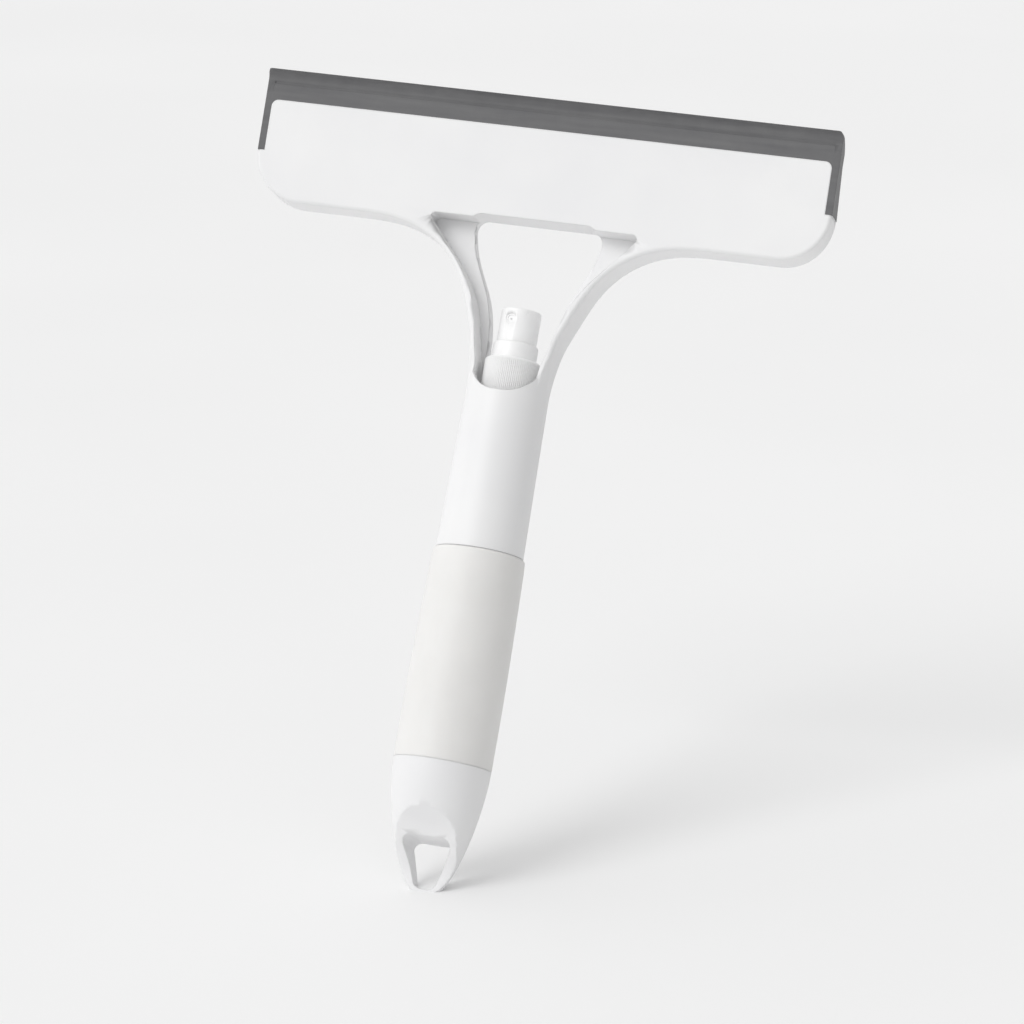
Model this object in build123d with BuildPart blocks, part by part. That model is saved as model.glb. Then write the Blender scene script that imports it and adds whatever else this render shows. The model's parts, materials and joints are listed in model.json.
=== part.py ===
"""Window squeegee with a spray bottle in its handle.

Frame: +Z runs up the handle from the hanging tip to the wiping edge, the wiping side faces -Y and
the blade runs along X. The origin is the lowest point of the handle, on the handle's own axis.
All sizes are in millimetres.
"""
import os
from math import cos, radians, sin, sqrt

from build123d import *

# ---- lengths along the handle, from the tip up ----------------------------------------------------
CAP_LENGTH = 54.5           # tail cap, tip to seam
GRIP_LENGTH = 88.9          # bare stretch of the bottle
SLEEVE_LENGTH = 66.9        # handle sleeve, up to the lip of the opening
YOKE_LENGTH = 70.6          # opening's lip to the head's straight lower edge
PANEL_HEIGHT = 43.0         # white front panel
BLADE_RISE = 12.6           # wiping edge above the panel

# ---- head -----------------------------------------------------------------------------------------
BLADE_LENGTH = 250.0        # wiping edge, end to end
FRONT_LOW, FRONT_HIGH = -6.0, -9.0      # front face, at the panel's lower and upper edge
REAR_LOW, REAR_HIGH = 10.0, -2.0        # rear face, at the same two heights
PANEL_CORNER = 3.0          # radius of the panel's upper corners
EDGE_ROUND = 1.6            # outer edges of the moulding
HEAD_WALL = 2.4             # front wall of the hollow head
FLOOR_WALL, TOP_WALL = 8.0, 5.0         # solid head below and above the hollow
COVER_THICK = 2.0           # rear cover plate
COVER_GAP = 0.15            # cover to head, all round
COVER_LEDGE = 1.6           # ledge of the head that the cover sits on
RIB_THICK, RIB_COUNT = 1.6, 5
ROOT = 0.5                  # how far an added rib reaches into the wall it stands on
OVER = 1.0                  # how far a cutting body passes the face that it cuts

# ---- rubber blade ---------------------------------------------------------------------------------
LEG_THICK, LEG_LENGTH = 3.0, 22.0       # side strips, outside the panel and down from its top
TONGUE_RISE = 6.0           # the head's tongue inside the blade's channel
TONGUE_INSET = 1.7          # rubber on each face of the tongue
TONGUE_SHORT = 1.0          # the tongue ends this far inside the panel
LIP_FORWARD = 3.8           # how far the wiping edge leans ahead of the panel
LIP_THICK = 1.5             # at the wiping edge
CREASE_RISE = 7.4           # groove along the blade's front, above the panel
CREASE_DEPTH, CREASE_HALF = 0.55, 0.7
BROW = 0.1                  # the rubber above the groove is this much proud
BACK_DROP = 2.2             # the blade's back stays flat up to this far below the groove
WAIST_IN, WAIST_RISE = 2.8, 1.7         # middle of the hollow back, from its rear face and the groove
BLADE_CORNER = 1.8          # rounded ends of the wiping edge

# ---- neck, thread and collar ----------------------------------------------------------------------
NECK_R, NECK_WALL = 8.85, 1.15
NECK_RISE = 11.1            # the bottle's mouth above the opening's lip
NECK_LENGTH = 16.5
NECK_SLOPE = 7.0            # cone between the spigot and the neck
FLARE_OUT, FLARE_DROP = 1.4, 2.6        # foot of the neck, where it widens into the cone
THREAD_PITCH, THREAD_DEPTH, THREAD_TURNS = 3.175, 1.0, 1.5
THREAD_DROP = 8.0           # start of the thread below the mouth
THREAD_FOOT, THREAD_CREST = 0.24, 0.11  # half widths of the ridge, as shares of the pitch
THREAD_SINK = 0.25          # the ridge reaches this far into its wall
THREAD_FIT = 0.35           # thread to the opposite wall
COLLAR_WALL, COLLAR_ROOF = 1.65, 1.4
COLLAR_HEIGHT, COLLAR_ROUND = 17.0, 0.9
RUNNING = 0.08              # clearance of sliding and turning fits
SEATED = 0.1                # clearance of parts that stand on each other

# ---- yoke opening ---------------------------------------------------------------------------------
COLLAR_ROOM = 1.75          # opening to collar, on each side
GAP_RISE, POCKET_RISE = 4.7, 3.2        # ceilings of the opening and of the pocket in front of the web
GAP_HALF, POCKET_HALF = 28.0, 47.0      # their half widths under the ceiling
GAP_CORNER, POCKET_CORNER = 5.0, 2.0
YOKE_HALF = 78.0            # where the arms leave the head's lower edge
ARM_WALL = 3.7              # arms beside the pump
ARM_DEPTH = 11.0            # half depth of the arms near the handle
ARM_SINK = 17.0             # how far the arms reach down into the sleeve
WEB_FRONT = 5.0             # front face of the web at the back of the arms
BLEND_RISE, BLEND_OUT = 36.0, 8.4       # the arms swell out of the sleeve's round over this height
KINK_RISE = 2.0             # the flat faces begin this far above the head's lower edge

# ---- handle sleeve and bottle ---------------------------------------------------------------------
BORE_STEP = 2.0             # the sleeve's bore, wider than the opening on each side
SLEEVE_WALL, SLEEVE_TAPER = 1.8, 1.0
BORE_RISE = 18.0            # where the bore ends between the arms, above the lip
SPIGOT_SPARE = 2.0          # straight bore above the bottle's spigot
SPIGOT_GAP = 0.3            # bottle to sleeve, radially
GRIP_STEP, GRIP_SWELL = 0.9, 1.2        # bottle proud of the sleeve at the seam, and its swell below
BOTTLE_WALL = 1.4
SHOULDER_ROUND = 1.2
BASE_STEP, BASE_DEPTH = 3.0, 12.5       # the bottle's foot inside the cap
BASE_CHAMFER, BASE_CONE = 2.0, 3.0      # outer chamfer, and the inside cone above the foot
GRIP_RING_RISE = 7.5        # rubber ring above the sleeve's lower end
GRIP_RING_R = 0.9           # radius of the ring's round section

# ---- pump -----------------------------------------------------------------------------------------
GASKET_THICK = 1.0
GASKET_INSET = 0.3          # gasket inside the housing's flange
GASKET_FIT = 0.2            # gasket to the housing's barrel
FLANGE_THICK = 1.0          # flanges of the housing and of the turret
FLANGE_GAP = 0.9            # housing flange to the collar's bore
TURRET_R, TURRET_WALL = 9.55, 0.75
PRESS_TRAVEL = 5.0
PRESS_MARGIN = 2.0
BUTTON_GAP = 0.35           # button inside the turret
BUTTON_HEIGHT, BUTTON_WALL, BUTTON_ROOF = 16.2, 1.2, 2.0
BUTTON_POST = 3.4           # radius of the button's stem socket
SKIRT_OVERLAP = 1.8         # button inside the turret at rest
NOZZLE_YAW = -16.0          # the button's turn at rest, about the handle's axis
NOZZLE_DROP = 5.0           # nozzle's centre below the button's top
NOZZLE_R, NOZZLE_DEEP = 2.3, 2.6
NOZZLE_SHY = 0.45           # the insert's face inside the button's skin
NOZZLE_WALL, BOSS_SHY = 0.9, 0.4        # boss round the insert, and its end inside the skin
DISH_DEPTH, DISH_RIM, PIP_R = 0.3, 0.7, 0.45    # dished face of the insert, with a pip in its middle
CHANNEL_R, CHANNEL_DROP = 0.7, 0.8      # channel from the stem's socket to the insert
SPRAY_R = 0.2
STEM_R, STEM_BORE = 1.9, 0.9
STEM_DROP = 6.4             # stem's top below the button's top
STEM_SPARE = 0.3            # the socket is deeper than the stem
SEAL_R, SEAL_THICK = 4.9, 1.4
HOUSING_R, HOUSING_WALL = 5.9, 1.4
PISTON_DROP, PISTON_LENGTH = 3.1, 5.0   # piston below the stem seal
PLUNGER_PLATE, PLUNGER_R = 1.0, 2.0
PLUNGER_STOP = 1.0          # plunger to the bore's floor when pressed
PLUNGER_GAP = 0.3           # plunger's plate to the bore
SPRING_LENGTH = 14.0
SPRING_R, SPRING_WIRE, SPRING_TURNS = 3.3, 0.35, 7
BALL_R, BALL_GAP = 1.5, 0.03            # ball above its conical seat
BALL_WELL = 5.0             # depth of the ball's well under the bore
BALL_ROOM = 0.3             # well round the ball
SEAT_HOLE, SEAT_LENGTH = 0.9, 1.5
HOUSING_FOOT = 2.0          # the barrel's full width reaches this far below its bore
SOCKET_FLARE, SOCKET_NECK = 0.6, 1.0    # swelling above the dip tube's socket
TUBE_R, TUBE_BORE = 1.8, 1.2
SOCKET_WALL, SOCKET_DEEP = 1.4, 6.5     # socket of the dip tube
TUBE_STAND = 4.0            # dip tube above the bottle's base

# ---- tail cap -------------------------------------------------------------------------------------
TIP_HALF, TIP_DEPTH = 3.0, 2.2          # half sizes of the small flat at the tip
TIP_BACK = 6.8              # the tip stands this far behind the handle's axis
TIP_FULLNESS, SIDE_FULLNESS, DEPTH_FULLNESS, BACK_BEND = 1.65, 0.62, 0.84, 1.7
CAP_SECTIONS = 20           # oval sections of the cap, closer together towards the tip
SCOOP_FLOOR = 3.6           # scoop's top below the bottle's foot
SCOOP_OPEN, SCOOP_BROW = 0.5, 1.2       # the cut starts outside the cap and above the scoop's top
LOOP_FRONT = 4.2            # front face of the loop at the tip
LOOP_SWELL = 1.2            # the loop's front face stands forward beside the hole
HOLE_BOTTOM = 2.8
HOLE_DROP = 15.0            # hole's top below the scoop's top
LOOP_RIM = 4.6              # rim beside the hole
HOLE_FOOT = 4.2             # half width at its lower end
HOLE_CORNER = 3.2
HOLE_DRAFT = 1.4            # the hole narrows this much from front to back

# ---- heights and radii that follow ----------------------------------------------------------------
SHOULDER_Z = CAP_LENGTH + GRIP_LENGTH
SLEEVE_BOTTOM = SHOULDER_Z + SEATED
U_LIP = SLEEVE_BOTTOM + SLEEVE_LENGTH
HEAD_BOTTOM = U_LIP + YOKE_LENGTH
PANEL_TOP = HEAD_BOTTOM + PANEL_HEIGHT
BLADE_TIP = PANEL_TOP + BLADE_RISE
HALF = BLADE_LENGTH / 2
PANEL_HALF = HALF - LEG_THICK
LEG_BOTTOM = PANEL_TOP - LEG_LENGTH
HEAD_CORNER = LEG_BOTTOM - HEAD_BOTTOM    # the lower corners start where the side strips end
TONGUE_TOP = PANEL_TOP + TONGUE_RISE
CREASE_Z = PANEL_TOP + CREASE_RISE
CAVITY_HALF = HALF - HEAD_CORNER / 2
CAVITY_FLOOR = HEAD_BOTTOM + FLOOR_WALL
CAVITY_TOP = PANEL_TOP - TOP_WALL

THREAD_R = NECK_R + THREAD_DEPTH
COLLAR_BORE = THREAD_R + THREAD_FIT
COLLAR_R = COLLAR_BORE + COLLAR_WALL
U_HALF = COLLAR_R + COLLAR_ROOM
ARM_HALF = U_HALF + ARM_WALL
SLEEVE_BORE = U_HALF + BORE_STEP
SLEEVE_R_HIGH = SLEEVE_BORE + SLEEVE_WALL
SLEEVE_R_LOW = SLEEVE_R_HIGH + SLEEVE_TAPER
SPIGOT_R = SLEEVE_BORE - SPIGOT_GAP
BOTTLE_R_TOP = SLEEVE_R_LOW + GRIP_STEP
BOTTLE_R = BOTTLE_R_TOP + GRIP_SWELL
BASE_R = BOTTLE_R - BASE_STEP
BASE_BOTTOM = CAP_LENGTH - BASE_DEPTH
BORE_TOP = U_LIP + BORE_RISE
ARM_BOTTOM = U_LIP - ARM_SINK

NECK_TOP = U_LIP + NECK_RISE
NECK_FOOT = NECK_TOP - NECK_LENGTH
NECK_BORE = NECK_R - NECK_WALL
SPIGOT_TOP = NECK_FOOT - NECK_SLOPE
THREAD_START = NECK_TOP - THREAD_DROP
GASKET_TOP = NECK_TOP + GASKET_THICK
HOUSING_TOP = GASKET_TOP + FLANGE_THICK
TURRET_FLANGE_TOP = HOUSING_TOP + FLANGE_THICK
COLLAR_TOP = TURRET_FLANGE_TOP + SEATED + COLLAR_ROOF
COLLAR_BOTTOM = COLLAR_TOP - COLLAR_HEIGHT
FLANGE_R = COLLAR_BORE - FLANGE_GAP
TURRET_TOP = COLLAR_TOP + PRESS_TRAVEL + PRESS_MARGIN
TURRET_BORE = TURRET_R - TURRET_WALL
BUTTON_R = TURRET_BORE - BUTTON_GAP
BUTTON_SKIRT = TURRET_TOP - SKIRT_OVERLAP
BUTTON_TOP = BUTTON_SKIRT + BUTTON_HEIGHT
NOZZLE_Z = BUTTON_TOP - NOZZLE_DROP
STEM_TOP = BUTTON_TOP - STEM_DROP
HOUSING_BORE = HOUSING_R - HOUSING_WALL
PISTON_TOP = HOUSING_TOP - SEAL_THICK - PISTON_DROP
PISTON_BOTTOM = PISTON_TOP - PISTON_LENGTH
BORE_FLOOR = PISTON_BOTTOM - PLUNGER_PLATE - SPRING_LENGTH
BALL_SEAT = BORE_FLOOR - BALL_WELL
SOCKET_R = TUBE_R + SOCKET_WALL
SOCKET_TOP = BALL_SEAT - SEAT_LENGTH
SOCKET_BOTTOM = SOCKET_TOP - SOCKET_DEEP
TUBE_BOTTOM = BASE_BOTTOM + TUBE_STAND
SCOOP_TOP = BASE_BOTTOM - SCOOP_FLOOR
HOLE_TOP = SCOOP_TOP - HOLE_DROP

THROUGH = 60.0              # longer than any cut is deep
UPWARD = (Align.CENTER, Align.CENTER, Align.MIN)
os.makedirs("parts", exist_ok=True)


def along(z, low, high):
    """Y of a head face at height z, from its values at the panel's lower and upper edge."""
    return low + (high - low) * (z - HEAD_BOTTOM) / PANEL_HEIGHT


def front_y(z):
    return along(z, FRONT_LOW, FRONT_HIGH)


def rear_y(z):
    return along(z, REAR_LOW, REAR_HIGH)


def side_prism(points, half_width):
    """A solid whose side view is the given (y, z) outline, centred on X."""
    with BuildPart() as prism:
        with BuildSketch(Plane.YZ):
            with BuildLine():
                Polyline(*points, close=True)
            make_face()
        extrude(amount=half_width, both=True)
    return prism.part


def wedge(bottom, top, front_inset, rear_inset, half_width):
    """The head's wedge between two heights, with its faces moved in by the given amounts."""
    points = [(front_y(bottom) + front_inset, bottom), (rear_y(bottom) - rear_inset, bottom),
              (rear_y(top) - rear_inset, top), (front_y(top) + front_inset, top)]
    return side_prism(points, half_width)


def turned(*points):
    """A solid of revolution about the handle's axis, from its (radius, height) outline."""
    with BuildPart() as body:
        with BuildSketch(Plane.XZ):
            with BuildLine():
                Polyline(*points, close=True)
            make_face()
        revolve(axis=Axis.Z)
    return body.part


def ring(outer, inner, bottom, top):
    """A plain washer or tube on the handle's axis."""
    return turned((inner, bottom), (outer, bottom), (outer, top), (inner, top))


def thread_ridge(root, depth, start, inward=False):
    """A right-hand ridge of trapezium section on a cylinder of radius root."""
    path = Helix(pitch=THREAD_PITCH, height=THREAD_PITCH * THREAD_TURNS, radius=root)
    path = path.moved(Location((0, 0, start)))
    foot, crest = THREAD_FOOT * THREAD_PITCH, THREAD_CREST * THREAD_PITCH
    with BuildPart() as ridge:
        with BuildSketch(Plane(origin=path @ 0, x_dir=(-1 if inward else 1, 0, 0), z_dir=path % 0)):
            with BuildLine():
                Polyline((-THREAD_SINK, -foot), (depth, -crest), (depth, crest), (-THREAD_SINK, foot),
                         close=True)
            make_face()
        sweep(path=path, is_frenet=True)
    return ridge.part


def save(name, part):
    part.label = name
    export_step(part, f"parts/{name}.step")


# ---- head frame: head, yoke and handle sleeve in one moulding -------------------------------------
# Points of the yoke's curves, as shares of the widening and of the yoke's length below the head,
# and two points of the U-lip's round, as shares of its half width.
ARM_CURVE = ((0.54, 0.055), (0.24, 0.25), (0.055, 0.58))
GAP_CURVE = ((0.69, 0.22), (0.26, 0.41), (0.04, 0.60))
POCKET_CURVE = ((0.70, 0.122), (0.40, 0.29), (0.168, 0.51), (0.054, 0.737))
LIP_SIDE, LIP_ROUND = (1.0, 0.55), (0.62, 0.14)


def yoke_points(narrow, wide, curve):
    return [(narrow + x * (wide - narrow), HEAD_BOTTOM - z * YOKE_LENGTH) for x, z in curve]


def corner_arc(x, z, radius, side, rise):
    """A quarter round at an outline's corner (x, z): side and rise point from it into the outline."""
    start, end = (x, z + rise * radius), (x + side * radius, z)
    middle = radius * (1 - sin(radians(45)))
    return ThreePointArc(start, (x + side * middle, z + rise * middle), end)


def outer_outline():
    """Front view of the moulding, from the panel down to where the arms sink into the sleeve."""
    with BuildSketch(Plane.XZ) as sketch:
        with BuildLine():
            Line((0, PANEL_TOP), (PANEL_HALF - PANEL_CORNER, PANEL_TOP))
            corner_arc(PANEL_HALF, PANEL_TOP, PANEL_CORNER, -1, -1)
            Polyline((PANEL_HALF, PANEL_TOP - PANEL_CORNER), (PANEL_HALF, LEG_BOTTOM), (HALF, LEG_BOTTOM))
            corner_arc(HALF, HEAD_BOTTOM, HEAD_CORNER, -1, 1)
            Line((HALF - HEAD_CORNER, HEAD_BOTTOM), (YOKE_HALF, HEAD_BOTTOM))
            arm_foot = (ARM_HALF, U_LIP)
            Spline((YOKE_HALF, HEAD_BOTTOM), *yoke_points(ARM_HALF, YOKE_HALF, ARM_CURVE), arm_foot,
                   tangents=((-1, 0), (0, -1)))
            Polyline(arm_foot, (ARM_HALF, ARM_BOTTOM), (0, ARM_BOTTOM), (0, PANEL_TOP))
        make_face()
        mirror(about=Plane.YZ)
    return sketch.sketch


def opening_outline(ceiling, half, corner, lean, curve):
    """Front view of the opening: a ceiling, rounded corners, curved sides and the round U-lip."""
    lip_side, lip_round = [(U_HALF * x, U_LIP + U_HALF * z) for x, z in (LIP_SIDE, LIP_ROUND)]
    with BuildSketch(Plane.XZ) as sketch:
        with BuildLine():
            Line((0, ceiling), (half, ceiling))
            Spline((half, ceiling), *yoke_points(U_HALF, half, curve), lip_side,
                   tangents=((-lean, -1), (0, -1)))
            ThreePointArc(lip_side, lip_round, (0, U_LIP))
            Line((0, U_LIP), (0, ceiling))
        make_face()
        fillet(sketch.vertices().sort_by(Axis.X)[-1], corner)
        mirror(about=Plane.YZ)
    return sketch.sketch


def side_profile():
    """Side view of head and arms: flat panel and rear face, running on smoothly into the arms."""
    kink, foot = HEAD_BOTTOM + KINK_RISE, ARM_BOTTOM - OVER
    front_slope = (FRONT_HIGH - FRONT_LOW) / PANEL_HEIGHT
    rear_slope = (REAR_HIGH - REAR_LOW) / PANEL_HEIGHT
    with BuildPart() as prism:
        with BuildSketch(Plane.YZ):
            with BuildLine():
                Line((-ARM_DEPTH, foot), (ARM_DEPTH, foot))
                Spline((ARM_DEPTH, foot), (rear_y(kink), kink), tangents=((0, 1), (rear_slope, 1)))
                Polyline((rear_y(kink), kink), (REAR_HIGH, PANEL_TOP), (FRONT_HIGH, PANEL_TOP),
                         (front_y(kink), kink))
                Spline((front_y(kink), kink), (-ARM_DEPTH, foot), tangents=((-front_slope, -1), (0, -1)))
            make_face()
        extrude(amount=HALF + OVER, both=True)
    return prism.part


def sleeve_blend():
    """A body of revolution that is the sleeve's round at the lip and swells smoothly above it."""
    with BuildPart() as limit:
        with BuildSketch(Plane.XZ):
            with BuildLine():
                start, end = (SLEEVE_R_HIGH, U_LIP), (SLEEVE_R_HIGH + BLEND_OUT, U_LIP + BLEND_RISE)
                Polyline((0, ARM_BOTTOM - OVER), (SLEEVE_R_HIGH, ARM_BOTTOM - OVER), start)
                Spline(start, end, tangents=((0, 1), (BLEND_OUT, BLEND_RISE / 2)))
                Polyline(end, (HALF * 2, HEAD_BOTTOM), (HALF * 2, BLADE_TIP), (0, BLADE_TIP),
                         (0, ARM_BOTTOM - OVER))
            make_face()
        revolve(axis=Axis.Z)
    return limit.part


def rear_plate(margin):
    """The rear cover's place: a plate in the rear face, larger than the hollow by the margin."""
    low, high = CAVITY_FLOOR - margin, CAVITY_TOP + margin
    points = [(rear_y(low), low), (rear_y(high), high),
              (rear_y(high) - COVER_THICK, high), (rear_y(low) - COVER_THICK, low)]
    return side_prism(points, CAVITY_HALF + margin)


def outline_edge(edge):
    """True for the edges round the front and rear faces, but not along the panel's top or the legs."""
    box = edge.bounding_box()
    across = box.size.Y > REAR_LOW / 2
    foot = box.min.Z < ARM_BOTTOM + OVER and box.size.Z < OVER
    under_blade = box.min.Z > LEG_BOTTOM - COVER_GAP
    return not (across or foot or under_blade)


with BuildPart() as upper:
    extrude(outer_outline(), amount=THROUGH, both=True, dir=(0, 1, 0))
    add(side_profile(), mode=Mode.INTERSECT)
    fillet(upper.edges().filter_by(outline_edge), EDGE_ROUND)
    # the arms grow out of the round sleeve
    add(sleeve_blend(), mode=Mode.INTERSECT)

tongue = wedge(PANEL_TOP - ROOT, TONGUE_TOP, TONGUE_INSET, TONGUE_INSET, PANEL_HALF - TONGUE_SHORT)
with BuildPart() as head_frame:
    add(turned((0, SLEEVE_BOTTOM), (SLEEVE_R_LOW, SLEEVE_BOTTOM), (SLEEVE_R_HIGH, U_LIP),
               (SLEEVE_R_HIGH, U_LIP + U_HALF * LIP_SIDE[1]), (U_HALF, BORE_TOP), (0, BORE_TOP)))
    add(upper.part)
    add(tongue)
    # opening through the yoke, and the wider pocket in front of the web
    extrude(opening_outline(HEAD_BOTTOM + GAP_RISE, GAP_HALF, GAP_CORNER, 0, GAP_CURVE),
            amount=THROUGH, both=True, dir=(0, 1, 0), mode=Mode.SUBTRACT)
    pocket = opening_outline(HEAD_BOTTOM + POCKET_RISE, POCKET_HALF, POCKET_CORNER, 0.8, POCKET_CURVE)
    extrude(pocket, amount=THROUGH, dir=(0, -1, 0), mode=Mode.SUBTRACT)
    extrude(pocket, amount=WEB_FRONT, dir=(0, 1, 0), mode=Mode.SUBTRACT)
    # bore for the bottle, closing in above the spigot to the width of the opening
    add(turned((0, SLEEVE_BOTTOM - OVER), (SLEEVE_BORE, SLEEVE_BOTTOM - OVER),
               (SLEEVE_BORE, SPIGOT_TOP + SPIGOT_SPARE), (U_HALF, BORE_TOP), (0, BORE_TOP)),
        mode=Mode.SUBTRACT)
    # hollow of the head, with the ledge for its cover
    add(wedge(CAVITY_FLOOR, CAVITY_TOP, HEAD_WALL, 0, CAVITY_HALF), mode=Mode.SUBTRACT)
    add(rear_plate(COVER_LEDGE + COVER_GAP), mode=Mode.SUBTRACT)
    # upright ribs behind the panel, standing short of the cover
    for k in range(RIB_COUNT):
        rib_x = (k - (RIB_COUNT - 1) / 2) * 2 * CAVITY_HALF / (RIB_COUNT + 1)
        add(wedge(CAVITY_FLOOR - ROOT, CAVITY_TOP + ROOT, HEAD_WALL - ROOT, COVER_THICK + ROOT,
                  RIB_THICK / 2).moved(Location((rib_x, 0, 0))))
save("head_frame", head_frame.part)

# ---- rear cover: plain plate that closes the head's hollow ----------------------------------------
with BuildPart() as head_rear_cover:
    add(rear_plate(COVER_LEDGE))
    fillet(head_rear_cover.edges().filter_by(lambda e: e.length < COVER_THICK * 1.5), COVER_THICK * 0.4)
save("head_rear_cover", head_rear_cover.part)


# ---- wiper blade: rubber channel over the tongue, a leaning lip, and a strip down each side -------
def blade_section(creased):
    """Side view of the blade above the panel, with or without the groove along its front."""
    rear, groove_y, tip_y = rear_y(PANEL_TOP), front_y(CREASE_Z), FRONT_HIGH - LIP_FORWARD
    edge = LIP_THICK / 5
    foot, brow = (FRONT_HIGH, PANEL_TOP), (groove_y - BROW, CREASE_Z + CREASE_HALF)
    bow = (groove_y - LIP_FORWARD / 4, (CREASE_Z + BLADE_TIP + OVER) / 2)
    back, waist = (rear, CREASE_Z - BACK_DROP), (rear - WAIST_IN, CREASE_Z + WAIST_RISE)
    with BuildSketch(Plane.YZ) as sketch:
        with BuildLine():
            if creased:
                Polyline(foot, (groove_y, CREASE_Z - CREASE_HALF), (groove_y + CREASE_DEPTH, CREASE_Z),
                         brow)
            else:
                Line(foot, brow)
            ThreePointArc(brow, bow, (tip_y, BLADE_TIP - edge))
            Polyline((tip_y, BLADE_TIP - edge), (tip_y + edge, BLADE_TIP), (tip_y + LIP_THICK, BLADE_TIP))
            ThreePointArc((tip_y + LIP_THICK, BLADE_TIP), waist, back)
            Polyline(back, (rear, PANEL_TOP), foot)
        make_face()
    return sketch.sketch


with BuildPart() as wiper_blade:
    extrude(blade_section(True), amount=HALF - LEG_THICK, both=True, dir=(1, 0, 0))
    for side in (-1, 1):
        end = extrude(blade_section(False), amount=LEG_THICK, dir=(1, 0, 0), mode=Mode.PRIVATE)
        add(end.moved(Location((side * (HALF - LEG_THICK / 2) - LEG_THICK / 2, 0, 0))))
    with BuildSketch(Plane.XZ):
        with BuildLine():
            Line((0, BLADE_TIP), (HALF - BLADE_CORNER, BLADE_TIP))
            corner_arc(HALF, BLADE_TIP, BLADE_CORNER, -1, -1)
            Polyline((HALF, BLADE_TIP - BLADE_CORNER), (HALF, PANEL_TOP), (0, PANEL_TOP), (0, BLADE_TIP))
        make_face()
        mirror(about=Plane.YZ)
    extrude(amount=THROUGH, both=True, mode=Mode.INTERSECT)
    # side strips, and the rubber round the panel's upper corners
    add(wedge(LEG_BOTTOM, PANEL_TOP, 0, 0, HALF))
    extrude(outer_outline(), amount=THROUGH, both=True, dir=(0, 1, 0), mode=Mode.SUBTRACT)
    add(tongue, mode=Mode.SUBTRACT)
save("wiper_blade", wiper_blade.part)

# ---- bottle: hollow grip with a spigot inside the sleeve and a threaded neck ----------------------
def grip_curve(inset, bottom, top):
    """The grip's gently swelling side, moved in by the given wall."""
    swell = [(BOTTLE_R - inset, CAP_LENGTH + GRIP_LENGTH * 0.31),
             (BOTTLE_R_TOP + GRIP_SWELL * 0.46 - inset, CAP_LENGTH + GRIP_LENGTH * 0.79)]
    return Spline((BOTTLE_R - inset, bottom), *swell, (BOTTLE_R_TOP - inset, top),
                  tangents=((0, 1), (-0.06, 1)))


with BuildPart() as bottle:
    with BuildSketch(Plane.XZ):
        with BuildLine():
            shoulder = SHOULDER_Z - SHOULDER_ROUND
            inner_shoulder, inner_r = shoulder - SHOULDER_ROUND, SPIGOT_R - BOTTLE_WALL
            Polyline((0, BASE_BOTTOM), (BASE_R - BASE_CHAMFER, BASE_BOTTOM),
                     (BASE_R, BASE_BOTTOM + BASE_CHAMFER), (BASE_R, CAP_LENGTH), (BOTTLE_R, CAP_LENGTH))
            grip_curve(0, CAP_LENGTH, shoulder)
            corner_arc(BOTTLE_R_TOP, SHOULDER_Z, SHOULDER_ROUND, -1, -1)
            Polyline((BOTTLE_R_TOP - SHOULDER_ROUND, SHOULDER_Z), (SPIGOT_R, SHOULDER_Z),
                     (SPIGOT_R, SPIGOT_TOP), (NECK_R + FLARE_OUT, NECK_FOOT - FLARE_DROP),
                     (NECK_R, NECK_FOOT), (NECK_R, NECK_TOP),
                     (NECK_BORE, NECK_TOP), (NECK_BORE, NECK_FOOT - BOTTLE_WALL),
                     (inner_r, SPIGOT_TOP - BOTTLE_WALL), (inner_r, shoulder),
                     (BOTTLE_R_TOP - BOTTLE_WALL, inner_shoulder))
            grip_curve(BOTTLE_WALL, CAP_LENGTH + BASE_CONE, inner_shoulder)
            foot_r, foot_z = BASE_R - BOTTLE_WALL, BASE_BOTTOM + BOTTLE_WALL
            Polyline((BOTTLE_R - BOTTLE_WALL, CAP_LENGTH + BASE_CONE), (foot_r, CAP_LENGTH),
                     (foot_r, foot_z + BASE_CHAMFER), (foot_r - BASE_CHAMFER, foot_z), (0, foot_z),
                     (0, BASE_BOTTOM))
        make_face()
    revolve(axis=Axis.Z)
    # groove of the grip ring
    with Locations((0, 0, SLEEVE_BOTTOM + GRIP_RING_RISE)):
        Torus(SPIGOT_R, GRIP_RING_R, mode=Mode.SUBTRACT)
    add(thread_ridge(NECK_R, THREAD_DEPTH, THREAD_START))
save("bottle", bottle.part)

with BuildPart() as grip_ring:
    with Locations((0, 0, SLEEVE_BOTTOM + GRIP_RING_RISE)):
        Torus(SPIGOT_R, GRIP_RING_R)
        Cylinder(SLEEVE_BORE - RUNNING, 4 * GRIP_RING_R, mode=Mode.INTERSECT)
save("grip_ring", grip_ring.part)

# ---- tail cap: rounded tip with a scooped front and a hanging hole --------------------------------
# Points of the scoop's curve, as shares of the bottle's radius and of the scoop's height.
SCOOP_CURVE = ((-0.74, 0.88), (-0.45, 0.73), (-0.166, 0.53))


def cap_section(height):
    """Half width, half depth and middle of the cap's oval section at a height."""
    drop = 1 - height / CAP_LENGTH
    full = 1 - drop ** TIP_FULLNESS
    half_width = TIP_HALF + (BOTTLE_R - TIP_HALF) * full ** SIDE_FULLNESS
    half_depth = TIP_DEPTH + (BOTTLE_R - TIP_DEPTH) * full ** DEPTH_FULLNESS
    return half_width, half_depth, TIP_BACK * drop ** BACK_BEND


with BuildPart() as cap_body:
    for k in range(CAP_SECTIONS + 1):
        height = CAP_LENGTH * (k / CAP_SECTIONS) ** 2
        half_width, half_depth, middle = cap_section(height)
        with BuildSketch(Plane.XY.offset(height)):
            with Locations((0, middle)):
                Ellipse(half_width, half_depth)
    loft(ruled=True)


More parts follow.
